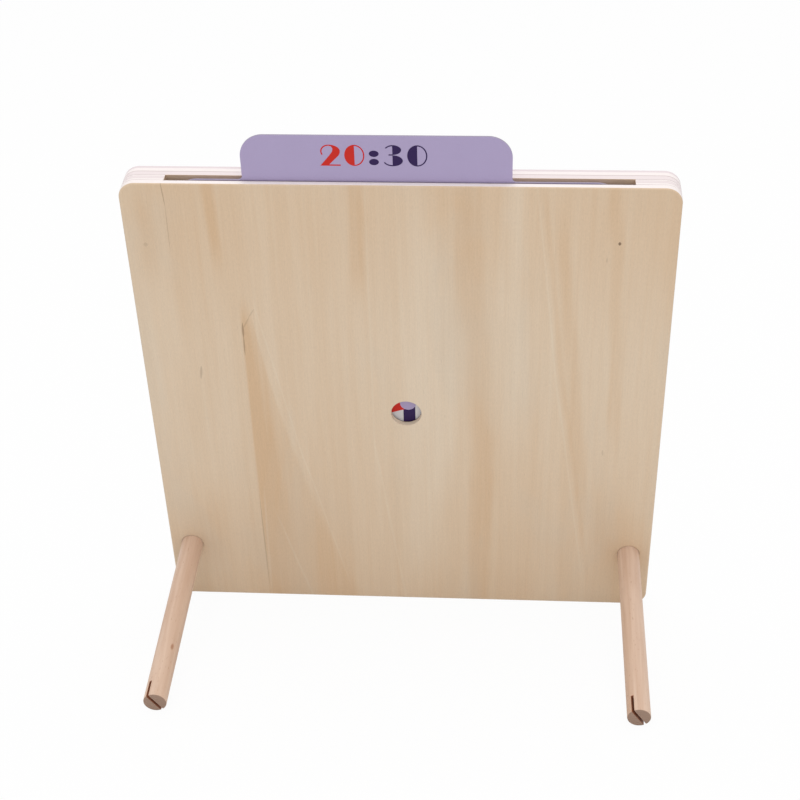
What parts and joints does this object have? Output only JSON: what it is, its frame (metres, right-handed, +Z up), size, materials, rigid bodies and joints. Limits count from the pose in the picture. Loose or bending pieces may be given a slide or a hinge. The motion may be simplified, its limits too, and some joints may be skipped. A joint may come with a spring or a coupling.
{
  "type": "wooden teaching clock",
  "caption": "Leaning plywood teaching clock on round legs, with hands that turn by hand and an open-topped slot for a printed time card.",
  "frame": {"origin": "middle of the bounding box's bottom, on the table the clock stands on", "axes": "+Z up, the dial faces -Y and leans back towards +Y, the legs stick out towards +Y"},
  "size_m": [0.27, 0.1422, 0.2896],
  "materials": {
    "plywood": "matt clear varnish over light laminated plywood, pale layered edges",
    "beech": "sanded pinkish beech",
    "card": "matt printed lavender card",
    "steel": "bright zinc plated",
    "fibre": "dark vulcanised fibre",
    "red_painted_wood": "satin red paint",
    "violet_painted_wood": "satin dark violet paint",
    "lavender_painted_wood": "satin lavender paint"
  },
  "bodies": {
    "board": {"back_panel": "plywood", "front_panel": "plywood", "slot_stile_left": "plywood", "slot_stile_right": "plywood", "slot_bottom_rail": "plywood", "pivot_sleeve_nut": "steel", "pivot_screw": "steel", "dial_washer": "fibre", "hand_washer": "fibre", "wave_washer": "steel", "cap_washer": "steel", "hub_cap": "lavender_painted_wood"},
    "hour_hand": {"hour_hand": "red_painted_wood"},
    "minute_hand": {"minute_hand": "violet_painted_wood"},
    "time_card": {"time_card": "card"},
    "leg_left": {"leg_left": "beech"},
    "leg_right": {"leg_right": "beech"}
  },
  "joints": [
    {"name": "hour_hand_turn", "type": "hinge", "parent": "board", "child": "hour_hand", "pos_m": [0, -0.03458, 0.13683], "axis": [0, 0.9635, -0.2677], "continuous": true},
    {"name": "minute_hand_turn", "type": "hinge", "parent": "board", "child": "minute_hand", "pos_m": [0, -0.03458, 0.13683], "axis": [0, 0.9635, -0.2677], "continuous": true},
    {"name": "card_lift", "type": "slide", "parent": "board", "child": "time_card", "axis": [0, 0.2677, 0.9635], "range_m": [0, 0.26]},
    {"name": "leg_left_pull", "type": "slide", "parent": "board", "child": "leg_left", "axis": [0, 0.9635, -0.2677], "range_m": [0, 0.016]},
    {"name": "leg_right_pull", "type": "slide", "parent": "board", "child": "leg_right", "axis": [0, 0.9635, -0.2677], "range_m": [0, 0.016]}
  ]
}
